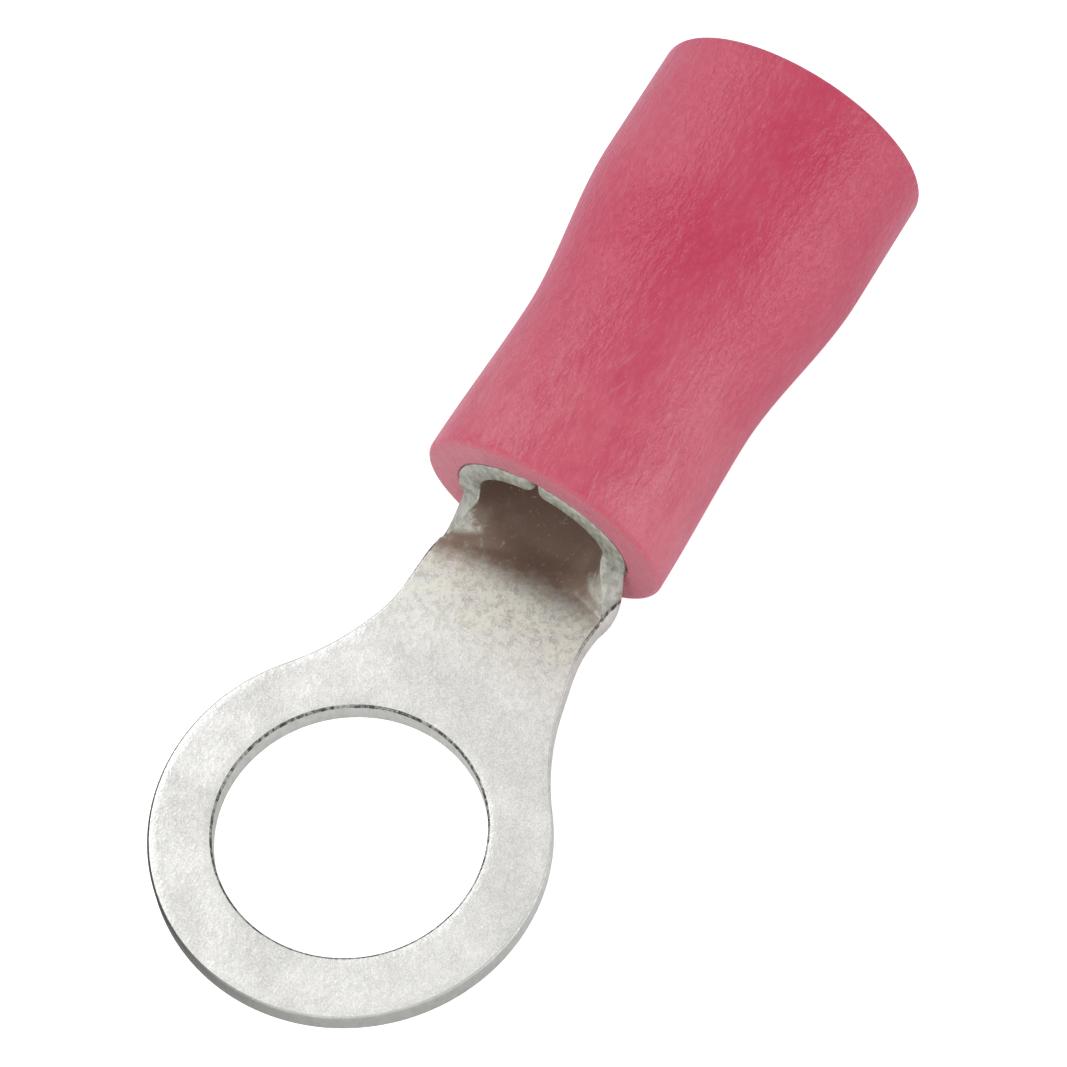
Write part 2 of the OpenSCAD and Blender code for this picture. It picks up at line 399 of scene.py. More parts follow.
def apply_modifier(piece, kind, **settings):
    """Adds a modifier with its settings and applies it."""
    bpy.ops.object.modifier_add(type=kind)
    modifier = piece.modifiers[-1]
    for key, value in settings.items():
        setattr(modifier, key, value)
    bpy.ops.object.modifier_apply(modifier=modifier.name)


def angle_of(place):
    """Angle of a place round the stud axis, from -pi to pi."""
    return math.atan2(place.y, place.x)


def finish_piece(piece, node):
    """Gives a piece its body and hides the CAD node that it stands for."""
    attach(piece, "root")
    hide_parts(node)


# ---------------------------------------------------------------- the sheet

def cut_ring(form):
    """Cuts the flat ring: a circle for the hole, extruded outwards to the ring's outline."""
    outline = sorted(form.ring_outline(), key=angle_of)
    hole = [place.normalized() * form.sizes.hole_r for place in outline]
    bpy.ops.mesh.primitive_circle_add(vertices=len(outline), radius=form.sizes.hole_r)
    sheet = new_piece("terminal_sheet")
    bpy.ops.object.mode_set(mode="EDIT")
    mesh = bmesh.from_edit_mesh(sheet.data)
    for corner, place in zip(sorted(mesh.verts, key=lambda corner: angle_of(corner.co)), hole):
        corner.co = place
    bmesh.update_edit_mesh(sheet.data)
    bpy.ops.mesh.select_all(action="SELECT")
    for loop in range(1, RING_LOOPS + 1):
        extrude_to(sheet, angle_of, [inner.lerp(outer, loop / RING_LOOPS)
                                     for inner, outer in zip(hole, outline)])
    return sheet


def cut_neck_and_barrel(sheet, form):
    """Extrudes the blank from the ring along the neck and the barrel, then sideways to the seam."""
    sizes = form.sizes
    rows = range(-ROWS, ROWS + 1)
    distances = form.barrel_columns()
    columns = form.neck_columns() + [sizes.barrel_x + distance for distance in distances[1:]]
    neck_edge = form.half_width(sizes.ring_r) + NEAR
    select_edges(sheet, lambda place: abs(place.x - sizes.ring_r) < NEAR and abs(place.y) < neck_edge)
    for x in columns:
        extrude_to(sheet, lambda place: place.y,
                   [Vector((x, form.row(x, number), 0)) for number in rows])
    rim_side = form.half_blank(sizes.barrel_x)
    for side in (-1, 1):
        select_edges(sheet, lambda place: side * place.y > rim_side - NEAR
                     and place.x > sizes.barrel_x - NEAR)
        for step in range(1, TOP_ROWS + 1):
            share = step / TOP_ROWS
            extrude_to(sheet, lambda place: place.x, [
                Vector((sizes.barrel_x + distance,
                        side * (rim_side + share * (form.seam_edge(distance) - rim_side)), 0))
                for distance in distances])


def mark_punched_edges(sheet, sizes):
    """Marks the edges that are rounded: in full, and less at the tight corners of seam and rim."""
    seam_z = sizes.barrel_h + 0.8 * sizes.barrel_bore

    def in_tight_corner(place):
        at_seam = place.z > seam_z and abs(place.y) < 2 * sizes.seam_corner
        at_rim = (abs(place.z - sizes.barrel_h) < RIM_CORNER_UP
                  and place.x > sizes.barrel_x - RIM_CORNER_ALONG)
        return at_seam or at_rim

    mesh = bmesh.new()
    mesh.from_mesh(sheet.data)
    weights = mesh.edges.layers.float.new("bevel_weight_edge")
    for edge in mesh.edges:
        across = edge.calc_length() > 0.8 * sizes.thickness
        if edge.is_manifold and not across and edge.calc_face_angle() > SHARP_ANGLE:
            tight = all(in_tight_corner(corner.co) for corner in edge.verts)
            edge[weights] = CORNER_WEIGHT if tight else 1.0
    mesh.to_mesh(sheet.data)
    mesh.free()


def trim_rim(sheet, form):
    """Sets corners that the rounding pushed out of the barrel's outside back on it."""
    for corner in sheet.data.vertices:
        distance, out = form.from_axis(corner.co)
        if distance > 0 and out.length > form.barrel_r:
            corner.co += out * (form.barrel_r / out.length - 1)


def press_grooves(sheet, form):
    """Presses the grip grooves into the inner wall of the barrel."""
    sizes = form.sizes
    middle = sizes.barrel_len / 2
    for corner in sheet.data.vertices:
        distance, out = form.from_axis(corner.co)
        inner = out.length < sizes.barrel_bore + 0.2 * sizes.thickness
        number = round((distance - middle) / sizes.groove_pitch)
        in_groove = abs(distance - middle - number * sizes.groove_pitch) < sizes.groove_w / 2
        if inner and in_groove and number in GROOVES:
            corner.co += out.normalized() * sizes.groove_depth


class OBJECT_OT_ring_terminal_sheet(bpy.types.Operator):
    """Cut the blank of the terminal, roll its barrel and round its punched edges"""
    bl_idname = "object.ring_terminal_sheet"
    bl_label = "Terminal sheet"
    bl_options = {"REGISTER", "UNDO"}

    def execute(self, context):
        sizes = context.scene.ring_terminal_sheet
        form = SheetForm(sizes)
        bpy.ops.object.select_all(action="DESELECT")
        sheet = cut_ring(form)
        cut_neck_and_barrel(sheet, form)
        bpy.ops.mesh.select_all(action="SELECT")
        bpy.ops.mesh.normals_make_consistent(inside=False)
        bpy.ops.object.mode_set(mode="OBJECT")
        if sheet.data.polygons[0].normal.z < 0:
            sheet.data.flip_normals()
        for corner in sheet.data.vertices:
            corner.co = form.roll(corner.co)
        colours = context.scene.ring_terminal_colours
        for material in (tin_plate(sizes, colours), tin_cut_edge(sizes, colours)):
            sheet.data.materials.append(material)
        apply_modifier(sheet, "SOLIDIFY", thickness=sizes.thickness, offset=0.0,
                       use_even_offset=True, material_offset_rim=1)
        mark_punched_edges(sheet, sizes)
        apply_modifier(sheet, "BEVEL", width=sizes.edge_round, segments=3, limit_method="WEIGHT",
                       use_clamp_overlap=False, material=1)
        trim_rim(sheet, form)
        press_grooves(sheet, form)
        bpy.ops.object.shade_smooth()
        apply_modifier(sheet, "WEIGHTED_NORMAL", keep_sharp=True)
        finish_piece(sheet, "terminal")
        return {"FINISHED"}


# ---------------------------------------------------------------- the sleeve

def s_curve(start, end, steps):
    """Corners of an S curve between two (distance, radius) pairs, without the first."""
    return [(start[0] + (end[0] - start[0]) * step / steps,
             start[1] + (end[1] - start[1]) * smooth(step / steps)) for step in range(1, steps + 1)]


def round_edge(distance, radius, edge, start, end, steps=6):
    """Corners of a rounded edge about a point, from one angle to another, in degrees."""
    turns = [math.radians(angle) for angle in even_steps(start, end, steps)]
    return [(distance + edge * math.cos(turn), radius + edge * math.sin(turn)) for turn in turns]


def sleeve_profile(sizes, barrel_len):
    """Closed outline of the sleeve's wall: distance behind the barrel's rim, and radius."""
    front = sizes.set_back
    waist = front + sizes.waist_x
    flare = waist + sizes.flare_run
    back = front + sizes.length
    front_edge, entry_edge = sizes.front_edge, sizes.entry_edge
    lip = 0.05 * MM
    return (
        round_edge(front + lip, sizes.grip_r + lip, lip, 270, 180, 3)
        + round_edge(front + front_edge, sizes.front_r - front_edge, front_edge, 180, 90)
        + s_curve((front + front_edge, sizes.front_r), (waist, sizes.waist_r), 20)
        + s_curve((waist, sizes.waist_r), (flare, sizes.flare_r), 24)
        + s_curve((flare, sizes.flare_r), (back - entry_edge, sizes.flare_r), 8)
        + round_edge(back - entry_edge, sizes.flare_r - entry_edge, entry_edge, 75, 0, 5)
        + round_edge(back - entry_edge, sizes.entry_r + entry_edge, entry_edge, 0, -90)
        + s_curve((back - entry_edge, sizes.entry_r), (flare, sizes.entry_r), 8)
        + s_curve((flare, sizes.entry_r), (barrel_len, sizes.grip_r), 16)
        + s_curve((barrel_len, sizes.grip_r), (front + lip, sizes.grip_r), 12)[:-1])


class OBJECT_OT_ring_terminal_sleeve(bpy.types.Operator):
    """Turn the vinyl sleeve about the barrel's axis"""
    bl_idname = "object.ring_terminal_sleeve"
    bl_label = "Vinyl sleeve"
    bl_options = {"REGISTER", "UNDO"}

    def execute(self, context):
        sizes = context.scene.ring_terminal_sleeve
        barrel = context.scene.ring_terminal_sheet
        profile = sleeve_profile(sizes, barrel.barrel_len)
        turns = even_steps(-math.pi, math.pi, SLEEVE_STEPS)[:-1]

        def hoop(distance, radius):
            return [Vector((distance, radius * math.cos(turn), radius * math.sin(turn)))
                    for turn in turns]

        def turn_of(place):
            turn = math.atan2(place.z, place.y)
            return -math.pi if turn > math.pi - NEAR_TURN else turn

        bpy.ops.object.select_all(action="DESELECT")
        bpy.ops.mesh.primitive_circle_add(vertices=SLEEVE_STEPS, radius=profile[0][1],
                                          rotation=(0, math.pi / 2, 0))
        sleeve = new_piece("vinyl_sleeve")
        bpy.ops.object.transform_apply(location=True, rotation=True, scale=True)
        bpy.ops.object.mode_set(mode="EDIT")
        mesh = bmesh.from_edit_mesh(sleeve.data)
        first = sorted(mesh.verts, key=lambda corner: turn_of(corner.co))
        for corner, place in zip(first, hoop(*profile[0]), strict=True):
            corner.co = place
        bmesh.update_edit_mesh(sleeve.data)
        bpy.ops.mesh.select_all(action="SELECT")
        for distance, radius in profile[1:]:
            extrude_to(sleeve, turn_of, hoop(distance, radius))
        bpy.ops.mesh.select_all(action="DESELECT")
        bpy.ops.mesh.select_non_manifold()
        bpy.ops.mesh.bridge_edge_loops()
        bpy.ops.mesh.select_all(action="SELECT")
        bpy.ops.mesh.normals_make_consistent(inside=False)
        bpy.ops.object.mode_set(mode="OBJECT")
        to_rim = Matrix.Translation((barrel.barrel_x, 0, barrel.barrel_h))
        sleeve.data.transform(to_rim @ Matrix.Rotation(-barrel.barrel_rise, 4, "Y"))
        bpy.ops.object.shade_smooth()
        colours = context.scene.ring_terminal_colours
        sleeve.data.materials.append(vinyl(barrel, colours))
        finish_piece(sleeve, "insulating_sleeve")
        return {"FINISHED"}


# ---------------------------------------------------------------- finishes

# Places along the tongue between which handling and stains come up
HANDLED_SPREAD = (3.0 * MM, 5.5 * MM)
STAIN_SPREAD = (3.4 * MM, 6.0 * MM)

# Distances from the rim, along the barrel's axis, between which tarnishing with painted shade comes up
# and rubbing fades out
TARNISH_AND_SHADE_SPREAD = (-1.45 * MM, -0.5 * MM)
RUBBED_SPREAD = (-0.55 * MM, -0.25 * MM)
TARNISH_AND_SHADE_WANDER = 1.2 * MM
TARNISH_AND_SHADE_SKEW = 0.1


def add_node(tree, kind, inputs=(), **settings):
    """Adds a node with its settings; each input is a value or a socket to link."""
    made = tree.nodes.new(kind)
    for key, value in settings.items():
        setattr(made, key, value)
    for key, value in dict(inputs).items():
        if isinstance(value, bpy.types.NodeSocket):
            tree.links.new(value, made.inputs[key])
        else:
            made.inputs[key].default_value = value
    return made


def ramp(tree, value, low, high, start=0.0, end=1.0):
    """Spreads a value from low..high to start..end, smoothly and held at both ends."""
    made = add_node(tree, "ShaderNodeMapRange",
                    {"Value": value, "From Min": low, "From Max": high, "To Min": start, "To Max": end},
                    interpolation_type="SMOOTHSTEP")
    return made.outputs["Result"]


def maths(tree, operation, *values):
    """A Math node's result."""
    return add_node(tree, "ShaderNodeMath", enumerate(values), operation=operation).outputs[0]


def blend_colour(tree, share, first, second):
    """Mixes two colours by a share."""
    made = add_node(tree, "ShaderNodeMix", {"Factor": share}, data_type="RGBA")
    for key, value in ((6, first), (7, second)):
        if isinstance(value, bpy.types.NodeSocket):
            tree.links.new(value, made.inputs[key])
        else:
            made.inputs[key].default_value = (*value, 1)
    return made.outputs[2]


def new_group(name, numbers, outputs):
    """An empty node group with a vector input, number inputs with defaults, and number outputs."""
    group = bpy.data.node_groups.new(name, "ShaderNodeTree")
    group.interface.new_socket("Vector", in_out="INPUT", socket_type="NodeSocketVector")
    for key, value in numbers.items():
        socket = group.interface.new_socket(key, in_out="INPUT", socket_type="NodeSocketFloat")
        socket.default_value = value
    for key in outputs:
        group.interface.new_socket(key, in_out="OUTPUT", socket_type="NodeSocketFloat")
    given = group.nodes.new("NodeGroupInput").outputs
    return group, given, group.nodes.new("NodeGroupOutput").inputs


def speckle_group():
    """Soft speckle in two sizes: a coarse and a fine one, each from 0 to 1."""
    numbers = {"Coarse per metre": 900.0, "Fine per metre": 9000.0}
    group, given, out = new_group("speckle", numbers, ("Coarse", "Fine"))
    for name, detail, roughness in (("Coarse", 4.0, 0.6), ("Fine", 3.0, 0.65)):
        noise = add_node(group, "ShaderNodeTexNoise",
                         {"Vector": given["Vector"], "Scale": given[f"{name} per metre"],
                          "Detail": detail, "Roughness": roughness})
        group.links.new(noise.outputs["Fac"], out[name])
    return group


def scratch_group():
    """Fine straight scratches along the vector's X: 1 on a scratch and 0 beside it."""
    numbers = {"Per metre": 1900.0, "Slimness": 16.0, "Rareness": 0.65}
    group, given, out = new_group("scratches", numbers, ("Scratch",))
    slim = add_node(group, "ShaderNodeCombineXYZ",
                    {"X": 1.0, "Y": given["Slimness"], "Z": given["Slimness"]})
    stretched = add_node(group, "ShaderNodeVectorMath", {0: given["Vector"], 1: slim.outputs[0]},
                         operation="MULTIPLY")
    lines = add_node(group, "ShaderNodeTexNoise",
                     {"Vector": stretched.outputs[0], "Scale": given["Per metre"],
                      "Detail": 2.0, "Roughness": 0.5})
    above = maths(group, "SUBTRACT", lines.outputs["Fac"], given["Rareness"])
    group.links.new(ramp(group, above, 0.0, 0.05), out["Scratch"])
    return group


def shared(name, make):
    """A shared node group, made once."""
    return bpy.data.node_groups.get(name) or make()


def use_group(tree, group, vector, **numbers):
    """Places a shared group in a material with its own numbers."""
    made = add_node(tree, "ShaderNodeGroup", node_tree=group)
    tree.links.new(vector, made.inputs["Vector"])
    for key, value in numbers.items():
        made.inputs[key.replace("_", " ")].default_value = value
    return made.outputs


def new_material(name):
    """A material with its node tree, its surface shader and its object coordinates."""
    material = bpy.data.materials.new(name)
    material.use_nodes = True
    tree = material.node_tree
    shader = tree.nodes["Principled BSDF"]
    place = tree.nodes.new("ShaderNodeTexCoord").outputs["Object"]
    return material, tree, shader, place


def turned(tree, place, angles, origin=(0, 0, 0)):
    """A pattern's coordinates, moved to an origin and then turned."""
    moved = add_node(tree, "ShaderNodeVectorMath", {0: place, 1: origin}, operation="SUBTRACT")
    made = add_node(tree, "ShaderNodeMapping", {"Vector": moved.outputs[0], "Rotation": angles})
    return made.outputs[0]


def bump(tree, height, depth, normal=None):
    """A Bump node's normal for a height of a real depth, on top of another normal."""
    made = add_node(tree, "ShaderNodeBump", {"Height": height, "Distance": depth, "Strength": 1.0})
    if normal:
        tree.links.new(normal, made.inputs["Normal"])
    return made.outputs["Normal"]


def barrel_coordinates(tree, place, sizes):
    """Coordinates along and around the barrel's axis, from the rim."""
    return turned(tree, place, (0, sizes.barrel_rise, 0), (sizes.barrel_x, 0, sizes.barrel_h))


def inside_barrel(tree, place, from_rim, wander, sizes):
    """1 on the inner wall of the barrel and the curl, which is darkened by tarnishing and painted
    shade, and 0 outside it and where it is rubbed bare.
    """
    normal = tree.nodes.new("ShaderNodeNewGeometry").outputs["Normal"]
    outwards = add_node(tree, "ShaderNodeVectorMath",
                        {0: place, 1: (sizes.barrel_x, 0, sizes.barrel_h)}, operation="SUBTRACT")
    facing = add_node(tree, "ShaderNodeVectorMath", {0: normal, 1: outwards.outputs[0]},
                      operation="DOT_PRODUCT").outputs["Value"]
    inner = ramp(tree, facing, -0.3 * MM, 0.3 * MM, 1.0, 0.0)
    parts = add_node(tree, "ShaderNodeSeparateXYZ", {0: place}).outputs
    strayed = maths(tree, "ADD", from_rim, maths(tree, "MULTIPLY", wander, TARNISH_AND_SHADE_WANDER))
    skewed = maths(tree, "ADD", strayed, maths(tree, "MULTIPLY", parts["Y"], TARNISH_AND_SHADE_SKEW))
    on_wing = ramp(tree, parts["Z"], 1.1 * sizes.thickness, 1.5 * sizes.thickness)
    rubbed = maths(tree, "MULTIPLY", ramp(tree, strayed, *RUBBED_SPREAD, 0.95, 0.0), on_wing)
    tarnish_and_shade_share = maths(tree, "MULTIPLY", inner, ramp(tree, skewed, *TARNISH_AND_SHADE_SPREAD))
    return maths(tree, "MULTIPLY", tarnish_and_shade_share, maths(tree, "SUBTRACT", 1.0, rubbed))


def tin_plate(sizes, colours):
    """Satin tin plating: mottled, faintly scratched, stained near the barrel, and darkened brown in it
    by tarnishing and painted shade.
    """
    material, tree, shader, place = new_material("tin_plate")
    cloud = use_group(tree, shared("speckle", speckle_group), place, Fine_per_metre=24000.0)
    blotch = use_group(tree, shared("speckle", speckle_group), place, Coarse_per_metre=3600.0)
    grains = maths(tree, "ADD", ramp(tree, blotch["Fine"], 0.38, 0.62, 0.0, 0.25),
                   ramp(tree, cloud["Fine"], 0.4, 0.6, 0.0, 0.5))
    mottle = maths(tree, "ADD", grains, ramp(tree, cloud["Coarse"], 0.42, 0.6, 0.0, 0.35))
    plate = blend_colour(tree, mottle, colours.tin, colours.tin_shade)
    along = add_node(tree, "ShaderNodeSeparateXYZ", {0: place}).outputs["X"]
    toward_rim = ramp(tree, along, *HANDLED_SPREAD, 0.1, 0.4)
    for turn in (0.5, 1.9, 2.7):
        slanted = turned(tree, place, (0, 0, turn))
        scratch = use_group(tree, shared("scratches", scratch_group), slanted)
        scratched = maths(tree, "MULTIPLY", scratch["Scratch"], toward_rim)
        plate = blend_colour(tree, scratched, plate, colours.tin_scratch)
    near_barrel = ramp(tree, along, *STAIN_SPREAD)
    stain = maths(tree, "MULTIPLY", near_barrel, ramp(tree, blotch["Coarse"], 0.42, 0.58, 0.35, 0.85))
    stained = blend_colour(tree, stain, plate, colours.tin_stain)
    pits = maths(tree, "MULTIPLY", near_barrel, ramp(tree, blotch["Fine"], 0.47, 0.62, 0.0, 0.42))
    stained = blend_colour(tree, pits, stained, colours.tin_cut)
    around = barrel_coordinates(tree, place, sizes)
    from_rim = add_node(tree, "ShaderNodeSeparateXYZ", {0: around}).outputs["X"]
    wander = maths(tree, "SUBTRACT", blotch["Coarse"], 0.5)
    # Inner walls of the barrel and the curl turn dark brown: tarnishing, darkened further as painted
    # shade of the bore
    inside = inside_barrel(tree, place, from_rim, wander, sizes)
    cloudy = maths(tree, "MAXIMUM", ramp(tree, blotch["Fine"], 0.6, 0.72),
                   ramp(tree, cloud["Coarse"], 0.48, 0.68, 0.0, 0.4))
    tarnish_and_shade = blend_colour(tree, cloudy, colours.barrel_tarnish_and_shade, colours.barrel_speck)
    tree.links.new(blend_colour(tree, inside, stained, tarnish_and_shade), shader.inputs["Base Color"])
    bare = maths(tree, "SUBTRACT", 1.0, maths(tree, "MULTIPLY", near_barrel, 0.65))
    tree.links.new(maths(tree, "MULTIPLY", bare, ramp(tree, inside, 0.0, 1.0, 1.0, 0.1)),
                   shader.inputs["Metallic"])
    polish = ramp(tree, blotch["Coarse"], 0.35, 0.65, 0.26, 0.38)
    tree.links.new(maths(tree, "ADD", polish, maths(tree, "MULTIPLY", inside, 0.3)),
                   shader.inputs["Roughness"])
    grain = bump(tree, blotch["Fine"], 0.008 * MM)
    tree.links.new(bump(tree, cloud["Fine"], 0.003 * MM, normal=grain), shader.inputs["Normal"])
    return material


def tin_cut_edge(sizes, colours):
    """Sheared edge of the sheet: thin plating with fine lines across it, grimy lines along its sides,
    and painted shade on one side of the ring's outer wall.
    """
    material, tree, shader, place = new_material("tin_cut_edge")
    flat = add_node(tree, "ShaderNodeMapping", {"Vector": place, "Scale": (1, 1, 0.07)}).outputs[0]
    lines = use_group(tree, shared("speckle", speckle_group), flat, Fine_per_metre=11000.0)
    blotch = use_group(tree, shared("speckle", speckle_group), place, Coarse_per_metre=5200.0)
    worn = maths(tree, "ADD", ramp(tree, blotch["Coarse"], 0.4, 0.6, 0.0, 0.7),
                 ramp(tree, lines["Fine"], 0.4, 0.6, 0.0, 0.4))
    thickness, ring_r = sizes.thickness, sizes.ring_r
    parts = add_node(tree, "ShaderNodeSeparateXYZ", {0: place}).outputs
    along, side, up = parts["X"], parts["Y"], parts["Z"]
    flat_part = ramp(tree, up, 1.02 * thickness, 1.2 * thickness, 1.0, 0.0)
    sheared = blend_colour(tree, worn, colours.tin_cut, colours.tin_shade)
    sheared = blend_colour(tree, maths(tree, "MULTIPLY", flat_part, 0.6), sheared, colours.tin)
    ragged = maths(tree, "ADD", up, maths(tree, "MULTIPLY", lines["Fine"], 0.2 * thickness))
    low = ramp(tree, ragged, 0.12 * thickness, 0.25 * thickness, 0.6, 0.0)
    high = maths(tree, "MULTIPLY", ramp(tree, lines["Fine"], 0.35, 0.6, 0.5, 0.95),
                 ramp(tree, ragged, 0.95 * thickness, 1.03 * thickness))
    level = add_node(tree, "ShaderNodeMapping", {"Vector": place, "Scale": (1, 1, 0)}).outputs[0]
    from_hole = add_node(tree, "ShaderNodeVectorMath", {0: level}, operation="LENGTH").outputs["Value"]
    outside = ramp(tree, from_hole, sizes.hole_r + 0.2 * MM, sizes.hole_r + 0.6 * MM)
    # Painted shade: the ring's outer wall darkens towards the ring's back and its +Y side, standing in
    # for shade and dark reflection there
    shade_on_ring_side = maths(tree, "MULTIPLY", ramp(tree, along, -0.5 * ring_r, 0.6 * ring_r, 1.0, 0.0),
                      ramp(tree, side, -0.65 * ring_r, 0.65 * ring_r, 0.3, 0.95))
    outer = maths(tree, "MULTIPLY", shade_on_ring_side, outside)
    clean = maths(tree, "MULTIPLY", outside, ramp(tree, along, 4.9 * MM, 6.0 * MM, 0.75, 0.0))
    high = maths(tree, "MULTIPLY", high, maths(tree, "SUBTRACT", 1.0, clean))
    darkest = maths(tree, "MAXIMUM", outer, maths(tree, "MAXIMUM", low, high))
    grime_and_shade = maths(tree, "MULTIPLY", darkest, flat_part)
    tree.links.new(blend_colour(tree, grime_and_shade, sheared, colours.tin_torn_and_shade), shader.inputs["Base Color"])
    shader.inputs["Metallic"].default_value = 1.0
    tree.links.new(ramp(tree, lines["Fine"], 0.35, 0.65, 0.45, 0.6), shader.inputs["Roughness"])
    tree.links.new(bump(tree, lines["Fine"], 0.02 * MM), shader.inputs["Normal"])
    return material


def vinyl(sizes, colours):
    """Soft satin vinyl, drawn lengthwise: fine wrinkles along the sleeve, pale bloom and scratches, a
    painted sheen that pales it towards the front, and painted light on the front face.
    """
    material, tree, shader, place = new_material("vinyl")
    around = barrel_coordinates(tree, place, sizes)
    drawn = add_node(tree, "ShaderNodeMapping", {"Vector": around, "Scale": (0.45, 1, 1)}).outputs[0]
    wrinkle = use_group(tree, shared("speckle", speckle_group), drawn,
                        Coarse_per_metre=1500.0, Fine_per_metre=8500.0)
    bloom = use_group(tree, shared("speckle", speckle_group), around, Coarse_per_metre=230.0,
                      Fine_per_metre=13000.0)
    from_rim = add_node(tree, "ShaderNodeSeparateXYZ", {0: around}).outputs["X"]
    # Painted light: the front face is mixed strongly towards pale vinyl, standing in for light falling
    # on it
    front = ramp(tree, from_rim, 0.0, 0.2 * MM, 0.9, 0.0)
    # Painted sheen: the sleeve is paler towards the front, in patches of the coarse wrinkles
    toward_rim = maths(tree, "MULTIPLY", ramp(tree, from_rim, 0.5 * MM, 6 * MM, 0.5, 0.0),
                    ramp(tree, wrinkle["Coarse"], 0.35, 0.6, 0.4, 1.0))
    bloom_and_sheen = maths(tree, "ADD", ramp(tree, bloom["Coarse"], 0.42, 0.66, 0.0, 0.25),
                 maths(tree, "ADD", toward_rim, ramp(tree, wrinkle["Fine"], 0.45, 0.66, 0.0, 0.16)))
    tone = blend_colour(tree, maths(tree, "MAXIMUM", bloom_and_sheen, front), colours.vinyl, colours.vinyl_bloom_and_painted_light)
    for turn in (-0.2, 0.35):
        slanted = turned(tree, around, (0, 0, turn))
        scratch = use_group(tree, shared("scratches", scratch_group), slanted,
                            Per_metre=240.0, Slimness=44.0, Rareness=0.66)
        rubbed = maths(tree, "MULTIPLY", scratch["Scratch"],
                       ramp(tree, from_rim, 1 * MM, 5 * MM, 0.25, 0.04))
        tone = blend_colour(tree, rubbed, tone, colours.vinyl_rubbed)
    tree.links.new(tone, shader.inputs["Base Color"])
    tree.links.new(ramp(tree, bloom["Coarse"], 0.35, 0.65, 0.3, 0.37), shader.inputs["Roughness"])
    shader.inputs["Sheen Weight"].default_value = 0.25
    shader.inputs["Sheen Roughness"].default_value = 0.35
    shader.inputs["Sheen Tint"].default_value = (*colours.vinyl_sheen, 1)
    soft = bump(tree, wrinkle["Coarse"], 0.08 * MM)
    fine = bump(tree, wrinkle["Fine"], 0.05 * MM, normal=soft)
    tree.links.new(bump(tree, bloom["Fine"], 0.01 * MM, normal=fine), shader.inputs["Normal"])
    return material


def floor_finish(colour):
    """Pale matt floor that shows white to the camera and keeps the part's soft shadow."""
    material, tree, shader, _ = new_material("pale_floor")
    shader.inputs["Roughness"].default_value = 0.9
    shader.inputs["Specular IOR Level"].default_value = 0.1
    shader.inputs["Base Color"].default_value = (*colour, 1)
    seen = add_node(tree, "ShaderNodeLightPath").outputs
    mirrored = maths(tree, "MAXIMUM", seen["Is Glossy Ray"], seen["Is Transmission Ray"])
    glow = maths(tree, "MAXIMUM", maths(tree, "MULTIPLY", seen["Is Camera Ray"], 0.75),
                 maths(tree, "MULTIPLY", mirrored, 0.12))
    shader.inputs["Emission Color"].default_value = (1, 1, 1, 1)
    tree.links.new(glow, shader.inputs["Emission Strength"])
    return material


# ---------------------------------------------------------------- stage

# Each lamp's name, place, width and power setting
LAMPS = (
    ("key_lamp", (0.046, 0.145, 0.135), 0.05, "key_power"),
    ("front_lamp", (-0.13, 0.02, 0.13), 0.10, "front_power"),
    ("fill_lamp", (0.062, -0.19, 0.04), 0.05, "fill_power"),
)


def add_floor(stage):
    """A plain level floor under the part's lowest point."""
    bpy.ops.mesh.primitive_plane_add(size=stage.floor_size, location=(0, 0, CAD_BOX[0][2]))
    floor = new_piece("floor")
    floor.data.materials.append(floor_finish(stage.floor_colour))


def add_lamp(name, place, target, width, power):
    """A square soft lamp that faces a target."""
    bpy.ops.object.light_add(type="AREA", location=place)
    lamp = bpy.context.object
    lamp.name = name
    lamp.rotation_euler = (Vector(target) - Vector(place)).to_track_quat("-Z", "Y").to_euler()
    lamp.data.size = width
    lamp.data.energy = power


def add_sky(brightness):
    """A pale room: white to the camera, to gloss and through clear parts, and softer as a light."""
    world = bpy.data.worlds.new("pale_room")
    bpy.context.scene.world = world
    world.use_nodes = True
    tree = world.node_tree
    seen = add_node(tree, "ShaderNodeLightPath").outputs
    direct = maths(tree, "MAXIMUM", seen["Is Camera Ray"],
                   maths(tree, "MAXIMUM", seen["Is Glossy Ray"], seen["Is Transmission Ray"]))
    background = tree.nodes["Background"]
    background.inputs["Color"].default_value = (1, 1, 1, 1)
    strength = maths(tree, "MAXIMUM", direct, brightness)
    tree.links.new(strength, background.inputs["Strength"])


def add_camera(stage):
    """The camera, at its place and turned to its target."""
    bpy.ops.object.camera_add(location=stage.camera_place)
    camera = bpy.context.object
    camera.name = "camera"
    view = (Vector(stage.camera_target) - Vector(stage.camera_place)).to_track_quat("-Z", "Y")
    roll = Matrix.Rotation(stage.camera_roll, 3, "Z")
    camera.rotation_euler = (view.to_matrix() @ roll).to_euler()
    camera.data.sensor_width = 36
    camera.data.lens = stage.lens
    camera.data.clip_start = 1 * MM
    bpy.context.scene.camera = camera


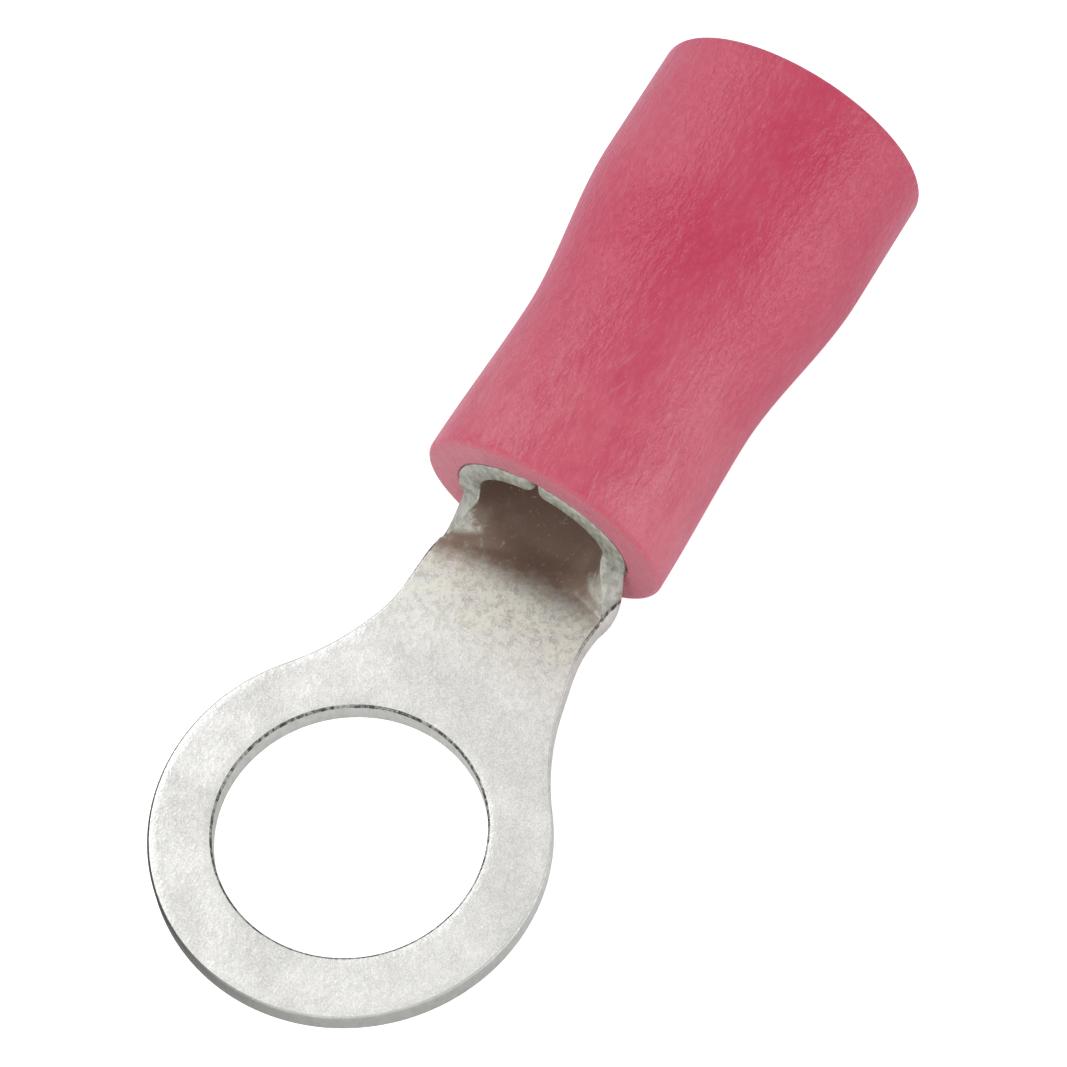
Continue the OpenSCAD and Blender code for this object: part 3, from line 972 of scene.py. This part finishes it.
class OBJECT_OT_ring_terminal_stage(bpy.types.Operator):
    """Set the floor, the soft lamps, the pale room and the camera"""
    bl_idname = "object.ring_terminal_stage"
    bl_label = "Stage"
    bl_options = {"REGISTER", "UNDO"}

    def execute(self, context):
        stage = context.scene.ring_terminal_stage
        bpy.ops.object.select_all(action="DESELECT")
        add_floor(stage)
        for name, place, width, power in LAMPS:
            add_lamp(name, place, stage.camera_target, width, getattr(stage, power))
        add_sky(stage.sky)
        add_camera(stage)
        context.scene.view_settings.view_transform = "Standard"
        return {"FINISHED"}


# ---------------------------------------------------------------- add-on

def list_settings(layout, group):
    """Shows every setting of a group in a part of the panel."""
    for key in group.bl_rna.properties.keys():
        if key not in ("rna_type", "name"):
            layout.prop(group, key)


class VIEW3D_PT_ring_terminal(bpy.types.Panel):
    """Lists the steps that build the ring terminal, with their sizes and colours"""
    bl_idname = "VIEW3D_PT_ring_terminal"
    bl_label = "Ring terminal"
    bl_space_type = "VIEW_3D"
    bl_region_type = "UI"
    bl_category = "Ring terminal"

    def draw(self, context):
        for operator, settings in STEPS:
            box = self.layout.box()
            box.operator(operator)
            list_settings(box, getattr(context.scene, settings))
        list_settings(self.layout, context.scene.ring_terminal_colours)


STEPS = (
    ("object.ring_terminal_sheet", "ring_terminal_sheet"),
    ("object.ring_terminal_sleeve", "ring_terminal_sleeve"),
    ("object.ring_terminal_stage", "ring_terminal_stage"),
)
SETTINGS = {
    "ring_terminal_sheet": RingTerminalSheet,
    "ring_terminal_sleeve": RingTerminalSleeve,
    "ring_terminal_colours": RingTerminalColours,
    "ring_terminal_stage": RingTerminalStage,
}
CLASSES = (
    *SETTINGS.values(),
    OBJECT_OT_ring_terminal_sheet,
    OBJECT_OT_ring_terminal_sleeve,
    OBJECT_OT_ring_terminal_stage,
    VIEW3D_PT_ring_terminal,
)


def register():
    """Registers the classes and adds their settings to the scene."""
    for made in CLASSES:
        bpy.utils.register_class(made)
    for name, group in SETTINGS.items():
        setattr(bpy.types.Scene, name, PointerProperty(type=group))


def unregister():
    """Takes the settings and the classes away again."""
    for name in SETTINGS:
        delattr(bpy.types.Scene, name)
    for made in reversed(CLASSES):
        bpy.utils.unregister_class(made)


def run_step(path):
    """Runs one operator by its name, and stops the script if it doesn't finish."""
    family, name = path.split(".")
    if getattr(getattr(bpy.ops, family), name)() != {"FINISHED"}:
        raise RuntimeError(f"{path} did not finish")


def main():
    register()
    for path, _ in STEPS:
        run_step(path)


if __name__ == "__main__":
    main()
